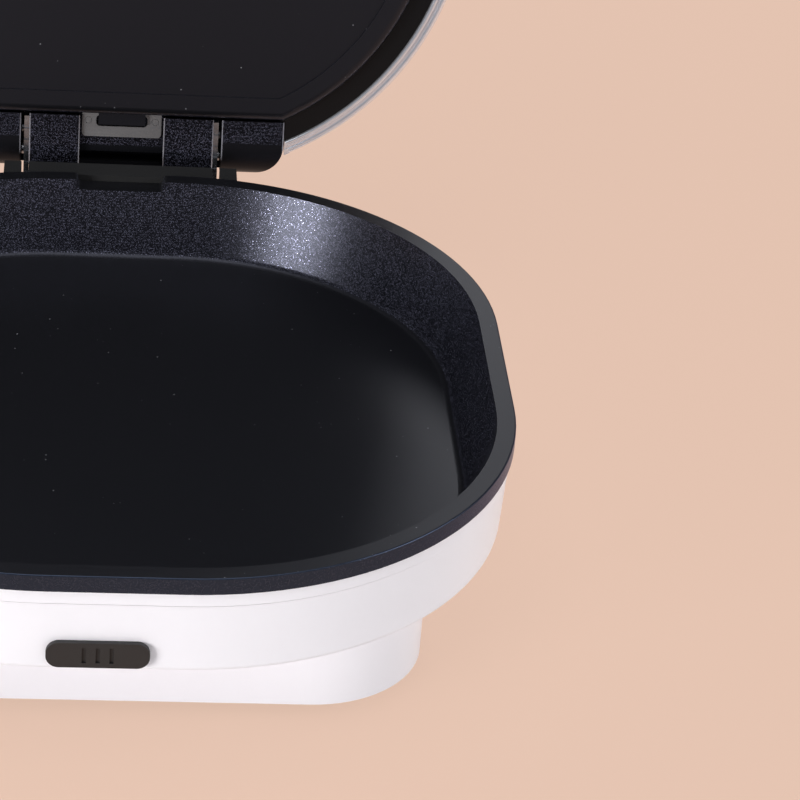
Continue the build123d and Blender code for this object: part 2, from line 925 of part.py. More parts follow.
def upper_reflector():
    """Heat shield over the element, flat across the back."""
    high = upper_shield_z + shield_thickness
    plate = prism(lid_outline, upper_inset - 3, upper_shield_z, high)
    plate -= block(-200, 200, along(flange_reach + 1), 300, upper_shield_z - 1, high + 1)
    for x, y in corner_places(boss_x, boss_y):
        plate -= screw_hole(x, y, upper_shield_z, high)
    return plate


def upper_reflector_screws():
    """Four screws that hold the upper heat shield to its posts."""
    return [screw_up(x, y, upper_shield_z, 11) for x, y in corner_places(boss_x, boss_y)]


def upper_thermostat():
    """Thermostat that hangs from the upper heat shield."""
    tall = upper_shield_z - upper_floor_top - seat_gap
    return Pos(0, 0, upper_shield_z) * Rot(180, 0, 0) * thermostat(0, tall)


# Upper pan


def upper_pan_body(inset, z0, z1):
    """Body with the upper pan's outline, flat across the back."""
    body = prism(lid_outline, upper_inset + inset, z0, z1)
    return body - block(-200, 200, along(upper_rear + inset), 300, z0 - 1, z1 + 1)


def upper_pan():
    """Shallow pan that sinks into the lower one, hollow behind its face."""
    low = part_line - upper_drop
    high = part_line + upper_rise
    pan = rounded_at(upper_pan_body(0, low, high), low, upper_round)
    pan -= upper_pan_body(upper_wall, low + upper_floor, high)
    pan -= upper_pan_body(upper_border, low, low + 0.8)
    half = tongue_half_width
    tip = along(slot_reach) + hook_thickness / 2
    low_tongue = part_line + running_gap
    tongue = block(-half, half, along(upper_rear) - 1, tip, low_tongue, low_tongue + tongue_thickness)
    hook = block(-half, half, tip - hook_thickness, tip, low_tongue, part_line + hook_rise)
    end = cross_rod(-half, half, along(slot_reach), part_line + hook_rise, hook_thickness / 2)
    return pan + tongue + hook + end


def upper_pan_keeper():
    """Steel strip on the front of the upper pan, which the catch's tab slides under."""
    low = part_line + liner_recess + liner_thickness + 0.2
    front = upper_front - upper_lug_reach
    return block(-upper_lug_half, upper_lug_half, front, upper_front, low, low + upper_lug_height)


def upper_pan_catch():
    """Sliding tab in front of the upper pan, whose edge locks the pan's lug."""
    back = upper_front - upper_lug_reach - running_gap
    front = back - upper_catch_depth
    face = part_line + 0.8
    half = upper_catch_half
    liner_back = part_line + liner_recess + liner_thickness
    tab = block(-half, half, front, back, face, liner_back - 0.2)
    for x in (-6, 0, 6):
        tab += block(x - 1.6, x + 1.6, front + 1.4, front + 2.4, face - 0.6, face)
    column = upper_lug_half + 0.7
    side = block(column, half, front, back, face, liner_back + 1.8)
    side += block(column, wing_half, front, back, liner_back + 0.3, liner_back + 1.8)
    for wing in both_sides(side):
        tab += wing
    return tab


# Handle and controls


def handle_screw_places():
    """X, y and z of the seats of the handle's screws inside the lid's front wall."""
    x = handle_half_width - handle_bar / 2
    z = part_line + handle_height + handle_thickness / 2
    rise = (z - part_line - ring_height) / (lid_height - ring_height)
    inset = lid_step + (lid_draft - lid_step) * rise
    radius = lid_radius - inset
    centre_x = lid_half_width - lid_radius
    out = (radius**2 - (x - centre_x) ** 2) ** 0.5
    wall = -(lid_half_depth - lid_radius) - out
    return [(side * x, wall + shell_wall + 0.4, z) for side in (1, -1)]


def handle_holes():
    """Holes through the lid's front wall for the handle's screws, with flat seats."""
    holes = []
    for x, y, z in handle_screw_places():
        holes.append(deep_rod(x, y - handle_screw_length, y + 1, z, screw_radius + screw_fit))
        holes.append(deep_rod(x, y, y + 3, z, head_radius + running_gap))
    return holes


def lid_handle():
    """Loop handle on the front of the lid, with a finger gap."""
    low = part_line + handle_height
    high = low + handle_thickness
    root = -lid_half_depth + 8
    tip = -lid_half_depth - handle_reach
    outer = Pos(0, (root + tip) / 2, low) * RectangleRounded(2 * handle_half_width, root - tip, 18)
    inner_front = tip + handle_bar
    inner_depth = root + 12 - inner_front
    inner_width = 2 * (handle_half_width - handle_bar)
    inner = Pos(0, inner_front + inner_depth / 2, low) * RectangleRounded(inner_width, inner_depth, 9)
    loop = extrude(outer, handle_thickness) - extrude(inner, handle_thickness)
    loop = rounded_at(rounded_at(loop, low, handle_round), high, handle_round)
    loop -= lid_outer()
    for hole in handle_holes():
        loop -= hole
    return loop


def handle_screws():
    """Two screws from inside the lid into the handle's arms."""
    return [screw_forward(x, y, z, handle_screw_length) for x, y, z in handle_screw_places()]


def control_holes():
    """Holes in the lid's top for the buttons and lamps."""
    low = lid_top - 6
    holes = []
    for x in (-button_x, button_x):
        holes.append(rod(x, panel_y, low, lid_top + 4, stem_radius + 1))
    for x in (-lamp_x, lamp_x):
        holes.append(rod(x, panel_y, low, lid_top + 4, lamp_radius))
    return holes


def control_panel():
    """Gloss plate on top of the lid around the two buttons and the two lamps."""
    high = lid_top + panel_thickness
    size = (2 * panel_half_width, 2 * panel_half_depth)
    plate = Pos(0, panel_y, lid_top) * RectangleRounded(*size, panel_half_depth - 1)
    body = rounded_at(extrude(plate, panel_thickness), high, 0.8)
    for x in (-button_x, button_x):
        body -= rod(x, panel_y, lid_top - 1, high + 1, button_radius + running_gap)
    for x in (-lamp_x, lamp_x):
        body -= rod(x, panel_y, lid_top - 1, high + 1, lamp_radius)
    return body


def switch_button(x):
    """Round push button with a dished face and a stem through the lid."""
    low = lid_top + button_travel + running_gap
    high = low + button_height
    cap = rounded_at(rod(x, panel_y, low, high, button_radius), high, 1.0)
    dish = Pos(x, panel_y, high + 20) * Rot(90, 0, 0) * Sphere(20.6)
    return cap - dish + rod(x, panel_y, stem_low, low + 0.5, stem_radius)


def lamp(x):
    """Small domed lamp lens."""
    high = lid_top + panel_thickness + 0.8
    return rounded_at(rod(x, panel_y, lid_top - 5, high, lamp_radius), high, 0.7)


def control_board():
    """Circuit board with the two switches that the buttons press."""
    low = board_top - board_thickness
    size = (2 * board_half_width, 2 * board_half_depth)
    board = extrude(Pos(0, panel_y, low) * RectangleRounded(*size, 3), board_thickness)
    for x in (-board_post_x, board_post_x):
        board -= screw_hole(x, panel_y, low, board_top)
    depth = (panel_y - switch_half, panel_y + switch_half)
    for x in (-button_x, button_x):
        board += block(x - switch_half, x + switch_half, *depth, board_top, board_top + switch_height)
    return board


def control_board_screws():
    """Two screws that hold the board under the lid's top."""
    seat = board_top - board_thickness
    return [screw_up(x, panel_y, seat, 9) for x in (-board_post_x, board_post_x)]


# All pieces


def base_pieces():
    """Every piece that stays down when the lid swings."""
    pieces = {
        "lower_pan": lower_pan(),
        "lower_pan_keeper": lower_pan_keeper(),
        "lower_pan_catch": lower_pan_catch(),
        "base_shell": base_shell(),
        "base_collar": base_collar(),
        "bottom_cover": bottom_cover(),
        "cover_screws": cover_screws(),
        "lower_heating_element": heating_element(element_half_y + element_tail, element_z),
        "lower_element_clips": element_clips(shield_top, element_z),
        "lower_reflector": lower_reflector(),
        "lower_reflector_screws": lower_reflector_screws(),
        "lower_thermostat": thermostat(shield_top, pan_underside - seat_gap),
        "terminal_block": terminal_block(),
        "cord_gland": cord_gland(),
        "hinge_bracket": hinge_bracket(),
        "hinge_bracket_screws": hinge_bracket_screws(),
        "hinge_pin_left": hinge_pin(-1),
        "hinge_pin_right": hinge_pin(1),
    }
    names = ("foot_back_right", "foot_front_right", "foot_back_left", "foot_front_left")
    for name, (x, y) in zip(names, corner_places(foot_x, foot_y)):
        pieces[name] = foot(x, y)
    return pieces


def lid_pieces():
    """Every piece that swings with the lid, drawn with the lid shut."""
    return {
        "lid_shell": lid_shell(),
        "lid_trim_ring": lid_trim_ring(),
        "lid_liner": lid_liner(),
        "hinge_casting": hinge_casting(),
        "hinge_casting_screws": hinge_casting_screws(),
        "hinge_leaf_left": hinge_leaf(-1),
        "hinge_leaf_right": hinge_leaf(1),
        "leaf_rivets": leaf_rivets(),
        "rear_catch_bracket": rear_catch_bracket(),
        "catch_bracket_screws": catch_bracket_screws(),
        "upper_pan": upper_pan(),
        "upper_pan_keeper": upper_pan_keeper(),
        "upper_pan_catch": upper_pan_catch(),
        "upper_heating_element": heating_element(along(upper_rear) - 12, upper_element_z),
        "upper_element_clips": element_clips(upper_shield_z, upper_element_z),
        "upper_reflector": upper_reflector(),
        "upper_reflector_screws": upper_reflector_screws(),
        "upper_thermostat": upper_thermostat(),
        "lid_handle": lid_handle(),
        "handle_screws": handle_screws(),
        "control_panel": control_panel(),
        "control_board": control_board(),
        "control_board_screws": control_board_screws(),
        "upper_pan_button": switch_button(-button_x),
        "lower_pan_button": switch_button(button_x),
        "power_lamp": lamp(-lamp_x),
        "ready_lamp": lamp(lamp_x),
    }


def swing_open(piece):
    """The lid's place at rest, swung open about the hinge axis."""
    return Pos(0, axis_y, axis_z) * Rot(-opening_angle, 0, 0) * Pos(0, -axis_y, -axis_z) * piece


def as_solids(piece):
    """List of the solids in a piece or a group of pieces."""
    members = piece if isinstance(piece, list) else [piece]
    solids = []
    for member in members:
        solids += list(member.solids())
    return solids


def main():
    """Build every piece, centre the object front to back and write one file for each."""
    pieces = {name: as_solids(piece) for name, piece in base_pieces().items()}
    for name, piece in lid_pieces().items():
        pieces[name] = [swing_open(solid) for solid in as_solids(piece)]
    boxes = [solid.bounding_box() for solids in pieces.values() for solid in solids]
    low_y = min(box.min.Y for box in boxes)
    high_y = max(box.max.Y for box in boxes)
    shift = -(low_y + high_y) / 2
    os.makedirs("parts", exist_ok=True)
    for name, solids in pieces.items():
        placed = [Pos(0, shift, 0) * solid for solid in solids]
        body = placed[0] if len(placed) == 1 else Compound(children=placed)
        export_step(body, f"parts/{name}.step")
    hook_end = cross_rod(-1, 1, along(slot_reach), part_line + hook_rise, 1)
    tilt = swing_open(hook_end).center()
    print("shift_y", round(shift, 4), "hinge_axis", round(axis_y + shift, 4), round(axis_z, 4))
    print("tilt_axis", round(tilt.Y + shift, 4), round(tilt.Z, 4))
    print("nodes", len(pieces))


main()
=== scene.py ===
"""Looks of a clamshell griddle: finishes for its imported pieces, a plain studio and the camera."""

from math import cos, pi, radians, sin

import bpy
from bpy.props import FloatProperty, FloatVectorProperty, PointerProperty
from mathutils import Matrix, Vector


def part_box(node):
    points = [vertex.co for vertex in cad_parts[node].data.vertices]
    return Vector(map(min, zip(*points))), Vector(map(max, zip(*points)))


bl_info = {
    "name": "Clamshell Griddle Looks",
    "version": (1, 0, 0),
    "blender": (4, 5, 0),
    "location": "3D View > Sidebar > Griddle",
    "description": "Finishes, studio and camera for a clamshell griddle",
    "category": "Object",
}

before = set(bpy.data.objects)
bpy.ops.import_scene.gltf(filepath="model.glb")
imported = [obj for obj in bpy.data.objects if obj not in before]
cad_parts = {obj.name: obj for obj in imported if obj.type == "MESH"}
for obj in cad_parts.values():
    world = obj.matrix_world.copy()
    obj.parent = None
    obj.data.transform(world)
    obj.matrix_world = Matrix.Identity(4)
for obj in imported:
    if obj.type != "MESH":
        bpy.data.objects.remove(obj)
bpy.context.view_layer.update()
PAN_LOW, PAN_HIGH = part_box("lower_pan")
PAN_MIDDLE = (PAN_LOW.y + PAN_HIGH.y) / 2
RIM = PAN_HIGH.z

# The hinge casting at rest, in metres: half the bridge's width and the inner side of the outer
# blocks, the heights under which both lose their flecks and turn plain as a painted shade, and how
# softly that painted shade ends.
BRIDGE_HALF = 0.0151
BRIDGE_FOOT = 0.0641
BRIDGE_FADE = 0.0004
BLOCK_INNER = 0.0352
BLOCK_FOOT = 0.0678
BLOCK_FADE = 0.0012
SIDE_FADE = 0.0002

# Where the lower pan opens to, and where the lid does, which leans back when it is open.
PAN_MOUTH = (0, 0, 1)
LID_TILT = radians(14)
LID_MOUTH = (0, -cos(LID_TILT), sin(LID_TILT))

# Ramps over how squarely a face looks along a mouth, from 0 to 1. A pan has its flecks on steep
# walls, so they fade out over the first one, and the casting has them only on the faces that look
# straight out of the lid, so its rounded faces turn plain, a painted shade. The last one starts the
# painted highlight on the casting's edges.
WALL_FACES = (0.55, 0.85, 1.0, 0.0)
MOUTH_FACES = (0.985, 0.999)
EDGE_HIGHLIGHT_FACES = (0.6, 0.68)

# The flecks: where one fades, as a share of its cell, how few of them are bright, how strong the
# brightest is, how far they tilt, and how much larger the specks on the cooking face are.
FLECK_FADE = (0.34, 0.62)
FLECK_CONTRAST = 2.2
FLECK_STRENGTH = 0.9
FLECK_TILT = 0.2
SPECK_SCALE = 1.6

# The coat's roughness where it is plain and where it is sprayed, how much smoother a fleck is,
# and the index of refraction on the pans and on the duller casting.
PLAIN_ROUGHNESS = 0.34
SPRAYED_ROUGHNESS = 0.3
FLECK_SMOOTHNESS = 0.08
PAN_IOR = 1.42
CASTING_IOR = 1.26

# How metallic the painted highlight on the casting's edges and the lower pan's outer lip are, and
# the distance in metres from the middle of the rim at which a face that looks outwards counts as
# the lip.
EDGE_HIGHLIGHT_METAL = 0.35
LIP_METAL = 0.85
LIP_REACH = (0.03, 0.06)


def linear(red, green, blue):
    """A colour given in 8-bit display values, as the linear values that shaders use."""
    shares = (red / 255, green / 255, blue / 255)
    return tuple(c / 12.92 if c <= 0.04045 else ((c + 0.055) / 1.055) ** 2.4 for c in shares)


def colour_value(name, description, default):
    """A colour that a user can change."""
    return FloatVectorProperty(name=name, description=description, default=default,
                               subtype="COLOR", size=3, min=0.0, max=1.0)


def length_value(name, description, default):
    """A length in metres that a user can change."""
    return FloatProperty(name=name, description=description, default=default,
                         min=0.0, precision=5, subtype="DISTANCE", unit="LENGTH")


def share_value(name, description, default):
    """A share from 0 to 1 that a user can change."""
    return FloatProperty(name=name, description=description, default=default,
                         min=0.0, max=1.0, subtype="FACTOR")


class CoatSettings(bpy.types.PropertyGroup):
    """Sizes and colours of the non-stick coat."""

    ground: colour_value("Ground", "Colour between the flecks", linear(6, 6, 9))
    fleck: colour_value("Fleck", "Colour of the metallic flecks", linear(138, 139, 162))
    # Painted highlight: the colour put on the casting's chamfers.
    edge: colour_value("Edge", "Thin bright edges of the hinge casting", linear(150, 150, 158))
    speck: colour_value("Speck", "The few specks on the cooking face", linear(160, 160, 166))
    sheen: colour_value("Sheen", "Tint of the coat's reflections", (0.76, 0.79, 1.0))
    plain: colour_value("Plain", "Colour of the smooth cooking face", linear(15, 15, 17))
    lip: colour_value("Lip", "Colour of the outer edge of the lower pan", (0.036, 0.048, 0.076))
    fleck_size: length_value("Fleck Size", "Distance from one fleck to the next", 0.0003)
    fleck_share: share_value("Fleck Share", "Share of the coat that flecks cover", 0.72)
    speck_share: share_value("Speck Share", "Share of the cooking face with specks", 0.001)


class MouldingSettings(bpy.types.PropertyGroup):
    """Colours of the moulded pieces."""

    housing: colour_value("Housing", "White housing, handle and buttons", linear(246, 242, 245))
    black: colour_value("Black", "Textured black plastic", linear(30, 30, 31))
    gloss: colour_value("Gloss", "Glossy black liner and panel", linear(12, 12, 14))
    rubber: colour_value("Rubber", "Feet and cord gland", linear(34, 34, 35))
    grain: length_value("Grain", "Depth of the moulded grain", 0.00003)


class MetalSettings(bpy.types.PropertyGroup):
    """Colours of the metal pieces."""

    trim: colour_value("Trim", "Plated ring round the lid", linear(233, 234, 240))
    satin: colour_value("Satin", "Brushed catch plate", linear(142, 142, 144))
    plated: colour_value("Plated", "Leaves, pins, rivets and keepers", linear(150, 151, 155))
    screw: colour_value("Screws", "Zinc-plated screws", linear(176, 177, 180))
    sheet: colour_value("Reflector", "Rolled reflectors and clips", linear(205, 206, 208))
    tube: colour_value("Heater", "Sheath of the heating elements", linear(96, 92, 88))


class StudioSettings(bpy.types.PropertyGroup):
    """Background and light of the studio."""

    backdrop: colour_value("Backdrop", "The floor and the horizon", linear(231, 198, 179))
    sky: colour_value("Sky", "Colour of the even light from all round", (0.172, 0.178, 0.198))
    lamps: FloatProperty(name="Lamps", description="Brightness of all softboxes together",
                         default=1.0, min=0.0)


SETTINGS = {
    "griddle_coat": CoatSettings,
    "griddle_mouldings": MouldingSettings,
    "griddle_metal": MetalSettings,
    "griddle_studio": StudioSettings,
}


# Node trees: short calls that add a node, fill or join its inputs, and return an output.

def add(tree, kind, inputs=(), output=0, **settings):
    """Adds a node to the right of the others, and returns one of its outputs."""
    node = tree.nodes.new(kind)
    node.location = (190 * len(tree.nodes), -40 * (len(tree.nodes) % 5))
    for name, value in settings.items():
        setattr(node, name, value)
    for key, value in dict(inputs).items():
        join(tree, value, node.inputs[key])
    return node.outputs[output] if node.outputs else node


def join(tree, value, socket):
    """Links an output to the socket, or sets the socket to a plain value."""
    if isinstance(value, bpy.types.NodeSocket):
        tree.links.new(value, socket)
    elif socket.type == "RGBA":
        socket.default_value = (*value[:3], 1.0)
    else:
        socket.default_value = value


def calc(tree, operation, first, second=0.0):
    """One step of arithmetic."""
    return add(tree, "ShaderNodeMath", {0: first, 1: second}, operation=operation)


def turn(tree, operation, first, second=(0.0, 0.0, 0.0), output="Vector"):
    """One step of vector arithmetic."""
    inputs = {0: first, 1: second}
    return add(tree, "ShaderNodeVectorMath", inputs, output, operation=operation)


def scaled(tree, vector, factor):
    """A vector or colour times a number."""
    result = turn(tree, "SCALE", vector)
    join(tree, factor, result.node.inputs["Scale"])
    return result


def noise(tree, vector, scale, detail):
    """Soft noise from 0 to 1."""
    inputs = {"Vector": vector, "Scale": scale, "Detail": detail}
    return add(tree, "ShaderNodeTexNoise", inputs)


def place_on_piece(tree):
    """The point's place in the piece's own coordinates, which move with it."""
    return add(tree, "ShaderNodeTexCoord", output="Object")


def facing_on_piece(tree):
    """The direction that the face looks in, in the piece's own coordinates."""
    return add(tree, "ShaderNodeTexCoord", output="Normal")


def surface_normal(tree):
    """The normal that the shader has by itself."""
    return add(tree, "ShaderNodeNewGeometry", output="Normal")


def ramp(tree, value, low, high, start=0.0, end=1.0):
    """A smooth step from start to end while value goes from low to high."""
    inputs = {"Value": value, "From Min": low, "From Max": high, "To Min": start, "To Max": end}
    return add(tree, "ShaderNodeMapRange", inputs, interpolation_type="SMOOTHSTEP")


# The Mix node's sockets share their names, so they go by number: 0 is the factor, 4 and 5 are
# the vectors, 6 and 7 the colours, and of the results 1 is the vector and 2 the colour.

def blend_colours(tree, factor, first, second):
    """A colour between two others."""
    inputs = {0: factor, 6: first, 7: second}
    return add(tree, "ShaderNodeMix", inputs, output=2, data_type="RGBA")


def blend_normals(tree, factor, first, second):
    """A normal between two others."""
    inputs = {0: factor, 4: first, 5: second}
    return add(tree, "ShaderNodeMix", inputs, output=1, data_type="VECTOR")


def new_group(name, inputs, outputs):
    """An empty shader node group; returns its tree, its input node and its output node."""
    tree = bpy.data.node_groups.new(name, "ShaderNodeTree")
    for label, kind in inputs:
        tree.interface.new_socket(label, in_out="INPUT", socket_type="NodeSocket" + kind)
    for label, kind in outputs:
        tree.interface.new_socket(label, in_out="OUTPUT", socket_type="NodeSocket" + kind)
    return tree, tree.nodes.new("NodeGroupInput"), tree.nodes.new("NodeGroupOutput")


def hand_out(tree, outlet, **values):
    """Joins the group's results to its output node."""
    outlet.location = (190 * len(tree.nodes), 0)
    for name, value in values.items():
        tree.links.new(value, outlet.inputs[name])


def flake_group():
    """Metallic flecks in a dark coat, one to a cell, each with its own brightness and tilt."""
    tree, inlet, outlet = new_group(
        "Flakes",
        [("Vector", "Vector"), ("Size", "Float"), ("Share", "Float"), ("Tilt", "Float"),
         ("Ground", "Color"), ("Fleck", "Color")],
        [("Color", "Color"), ("Mask", "Float"), ("Normal", "Vector")],
    )
    given = inlet.outputs
    cells = tree.nodes.new("ShaderNodeTexVoronoi")
    join(tree, given["Vector"], cells.inputs["Vector"])
    join(tree, calc(tree, "DIVIDE", 1.0, given["Size"]), cells.inputs["Scale"])
    dice = tree.nodes.new("ShaderNodeSeparateColor")
    join(tree, cells.outputs["Color"], dice.inputs[0])
    bare = calc(tree, "SUBTRACT", 1.0, given["Share"])
    chosen = calc(tree, "GREATER_THAN", dice.outputs[0], bare)
    dot = ramp(tree, cells.outputs["Distance"], *FLECK_FADE, 1.0, 0.0)
    mask = calc(tree, "MULTIPLY", chosen, dot)
    level = calc(tree, "POWER", dice.outputs[1], FLECK_CONTRAST)
    level = calc(tree, "MULTIPLY", level, FLECK_STRENGTH)
    shown = calc(tree, "MULTIPLY", mask, level)
    colour = blend_colours(tree, shown, given["Ground"], given["Fleck"])
    swing = turn(tree, "SUBTRACT", cells.outputs["Color"], (0.5, 0.5, 0.5))
    swing = scaled(tree, swing, calc(tree, "MULTIPLY", given["Tilt"], mask))
    normal = turn(tree, "NORMALIZE", turn(tree, "ADD", surface_normal(tree), swing))
    hand_out(tree, outlet, Color=colour, Mask=shown, Normal=normal)
    return tree


# Broad clouding against the fine grain: how much coarser it is, and each one's weight.
CLOUD_SCALE = 0.02
FINE_WEIGHT, CLOUD_WEIGHT = 0.35, 0.65


def grain_group():
    """Fine uneven grain with broad clouding, for mouldings, rubber and heaters."""
    tree, inlet, outlet = new_group(
        "Moulded Grain",
        [("Vector", "Vector"), ("Scale", "Float"), ("Base", "Color"), ("Clouding", "Float"),
         ("Roughness", "Float"), ("Spread", "Float")],
        [("Color", "Color"), ("Roughness", "Float"), ("Height", "Float")],
    )
    given = inlet.outputs
    fine = noise(tree, given["Vector"], given["Scale"], 3.0)
    cloud_scale = calc(tree, "MULTIPLY", given["Scale"], CLOUD_SCALE)
    cloud = noise(tree, given["Vector"], cloud_scale, 2.0)
    fine_part = calc(tree, "MULTIPLY", fine, FINE_WEIGHT)
    both = calc(tree, "ADD", fine_part, calc(tree, "MULTIPLY", cloud, CLOUD_WEIGHT))
    offset = calc(tree, "SUBTRACT", both, 0.5)
    brightness = calc(tree, "MULTIPLY", offset, given["Clouding"])
    colour = scaled(tree, given["Base"], calc(tree, "ADD", brightness, 1.0))
    rough = calc(tree, "ADD", calc(tree, "MULTIPLY", offset, given["Spread"]), given["Roughness"])
    hand_out(tree, outlet, Color=colour, Roughness=rough, Height=fine)
    return tree


SMUDGES_PER_METRE = 45.0


def brushed_group():
    """Long fine lines along one direction, as on rolled, drawn or brushed metal."""
    tree, inlet, outlet = new_group(
        "Brushed Lines",
        [("Vector", "Vector"), ("Stretch", "Vector"), ("Base", "Color"), ("Contrast", "Float"),
         ("Roughness", "Float"), ("Spread", "Float")],
        [("Color", "Color"), ("Roughness", "Float"), ("Height", "Float")],
    )
    given = inlet.outputs
    along = turn(tree, "MULTIPLY", given["Vector"], given["Stretch"])
    lines = noise(tree, along, 1.0, 4.0)
    smudge = noise(tree, given["Vector"], SMUDGES_PER_METRE, 2.0)
    offset = calc(tree, "SUBTRACT", lines, 0.5)
    brightness = calc(tree, "MULTIPLY", offset, given["Contrast"])
    colour = scaled(tree, given["Base"], calc(tree, "ADD", brightness, 1.0))
    uneven = calc(tree, "ADD", offset, calc(tree, "SUBTRACT", smudge, 0.5))
    rough = calc(tree, "ADD", calc(tree, "MULTIPLY", uneven, given["Spread"]), given["Roughness"])
    hand_out(tree, outlet, Color=colour, Roughness=rough, Height=lines)
    return tree


def shared_group(name):
    """The named effect, built the first time that it is asked for."""
    makers = {"Flakes": flake_group, "Moulded Grain": grain_group, "Brushed Lines": brushed_group}
    return bpy.data.node_groups.get(name) or makers[name]()


def effect(tree, name, **values):
    """Places a shared effect in a material, on object coordinates, and returns its outputs."""
    node = tree.nodes.new("ShaderNodeGroup")
    node.node_tree = shared_group(name)
    node.location = (190 * len(tree.nodes), 200)
    join(tree, place_on_piece(tree), node.inputs["Vector"])
    for key, value in values.items():
        join(tree, value, node.inputs[key])
    return node.outputs


def new_material(name, **constants):
    """A material whose shader has these plain values; returns it, its tree and the shader."""
    material = bpy.data.materials.new(name)
    material.use_nodes = True
    tree = material.node_tree
    shader = tree.nodes["Principled BSDF"]
    for key, value in constants.items():
        join(tree, value, shader.inputs[key.replace("_", " ")])
    return material, tree, shader


def textured(name, effect_name, depth, constants, **values):
    """A material whose colour, roughness and bump, depth metres high, come from an effect."""
    material, tree, shader = new_material(name, **constants)
    grain = effect(tree, effect_name, **values)
    join(tree, grain["Color"], shader.inputs["Base Color"])
    join(tree, grain["Roughness"], shader.inputs["Roughness"])
    bump = {"Height": grain["Height"], "Distance": depth, "Strength": 1.0}
    join(tree, add(tree, "ShaderNodeBump", bump), shader.inputs["Normal"])
    return material


def grained(name, base, *, scale, clouding, roughness, spread, depth, **constants):
    """A moulded, rubber or heater finish, with scale grains to the metre."""
    return textured(name, "Moulded Grain", depth, constants, Base=base, Scale=scale,
                    Clouding=clouding, Roughness=roughness, Spread=spread)


def brushed(name, base, *, lines, contrast, roughness, spread, depth, metallic=1.0):
    """A metal finish, with this many lines to the metre along each axis."""
    return textured(name, "Brushed Lines", depth, {"Metallic": metallic}, Base=base,
                    Stretch=lines, Contrast=contrast, Roughness=roughness, Spread=spread)


def lean_towards(tree, direction):
    """How squarely a face looks along a direction of the piece or against it, from 0 to 1."""
    lean = turn(tree, "DOT_PRODUCT", facing_on_piece(tree), direction, output="Value")
    return calc(tree, "ABSOLUTE", lean)


def outside_painted_shade(tree):
    """0 at the feet of the casting's bridge and outer blocks, which lose their flecks as a painted
    shade, and 1 elsewhere.
    """
    place = tree.nodes.new("ShaderNodeSeparateXYZ")
    join(tree, place_on_piece(tree), place.inputs[0])
    across = calc(tree, "ABSOLUTE", place.outputs["X"])
    height = place.outputs["Z"]
    off_bridge = ramp(tree, across, BRIDGE_HALF - SIDE_FADE, BRIDGE_HALF)
    off_block = ramp(tree, across, BLOCK_INNER, BLOCK_INNER + SIDE_FADE, 1.0, 0.0)
    above_bridge = ramp(tree, height, BRIDGE_FOOT, BRIDGE_FOOT + BRIDGE_FADE)
    above_block = ramp(tree, height, BLOCK_FOOT, BLOCK_FOOT + BLOCK_FADE)
    bridge = calc(tree, "MAXIMUM", off_bridge, above_bridge)
    return calc(tree, "MULTIPLY", bridge, calc(tree, "MAXIMUM", off_block, above_block))


def painted_edge_highlights(tree, lean):
    """1 on the casting's chamfers, which lean both out of the lid and sideways: a painted
    highlight.
    """
    sideways = ramp(tree, lean_towards(tree, (1, 0, 0)), *EDGE_HIGHLIGHT_FACES)
    return calc(tree, "MULTIPLY", ramp(tree, lean, *EDGE_HIGHLIGHT_FACES), sideways)


def outward_faces(tree):
    """1 on the lower pan's outer faces, which look away from its middle, and 0 elsewhere."""
    place = turn(tree, "SUBTRACT", place_on_piece(tree), (0, PAN_MIDDLE, RIM))
    outward = turn(tree, "DOT_PRODUCT", facing_on_piece(tree), place, output="Value")
    return ramp(tree, outward, *LIP_REACH)


def flecked(name, coat, mouth, faces, ior=PAN_IOR, casting=False, lip=False):
    """The sprayed coat. Its flecks come and go with how squarely a face looks along mouth."""
    material, tree, shader = new_material(name, IOR=ior, Specular_Tint=coat.sheen)
    flecks = effect(tree, "Flakes", Size=coat.fleck_size, Share=coat.fleck_share,
                    Tilt=FLECK_TILT, Ground=coat.ground, Fleck=coat.fleck)
    specks = effect(tree, "Flakes", Size=coat.fleck_size * SPECK_SCALE, Share=coat.speck_share,
                    Tilt=FLECK_TILT, Ground=coat.plain, Fleck=coat.speck)
    lean = lean_towards(tree, mouth)
    sprayed = ramp(tree, lean, *faces)
    if casting:
        # Painted shade: below these heights the casting's feet lose their flecks and turn plain.
        sprayed = calc(tree, "MULTIPLY", sprayed, outside_painted_shade(tree))
    colour = blend_colours(tree, sprayed, specks["Color"], flecks["Color"])
    normal = blend_normals(tree, sprayed, surface_normal(tree), flecks["Normal"])
    metal = calc(tree, "MULTIPLY", flecks["Mask"], sprayed)
    smoother = calc(tree, "MULTIPLY", metal, FLECK_SMOOTHNESS)
    rough = ramp(tree, sprayed, 0.0, 1.0, PLAIN_ROUGHNESS, SPRAYED_ROUGHNESS)
    rough = calc(tree, "SUBTRACT", rough, smoother)
    if casting:
        # Painted highlight: the chamfers turn lighter and partly metallic.
        edge = painted_edge_highlights(tree, lean)
        colour = blend_colours(tree, edge, colour, coat.edge)
        metal = calc(tree, "MAXIMUM", metal, calc(tree, "MULTIPLY", edge, EDGE_HIGHLIGHT_METAL))
    if lip:
        outer = calc(tree, "MULTIPLY", outward_faces(tree), LIP_METAL)
        colour = blend_colours(tree, outer, colour, coat.lip)
        metal = calc(tree, "MAXIMUM", metal, outer)
    join(tree, colour, shader.inputs["Base Color"])
    join(tree, rough, shader.inputs["Roughness"])
    join(tree, metal, shader.inputs["Metallic"])
    join(tree, normal, shader.inputs["Normal"])
    return material


def paint(material, *nodes):
    """Gives CAD nodes this material."""
    for name in nodes:
        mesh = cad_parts[name].data
        mesh.materials.clear()
        mesh.materials.append(material)


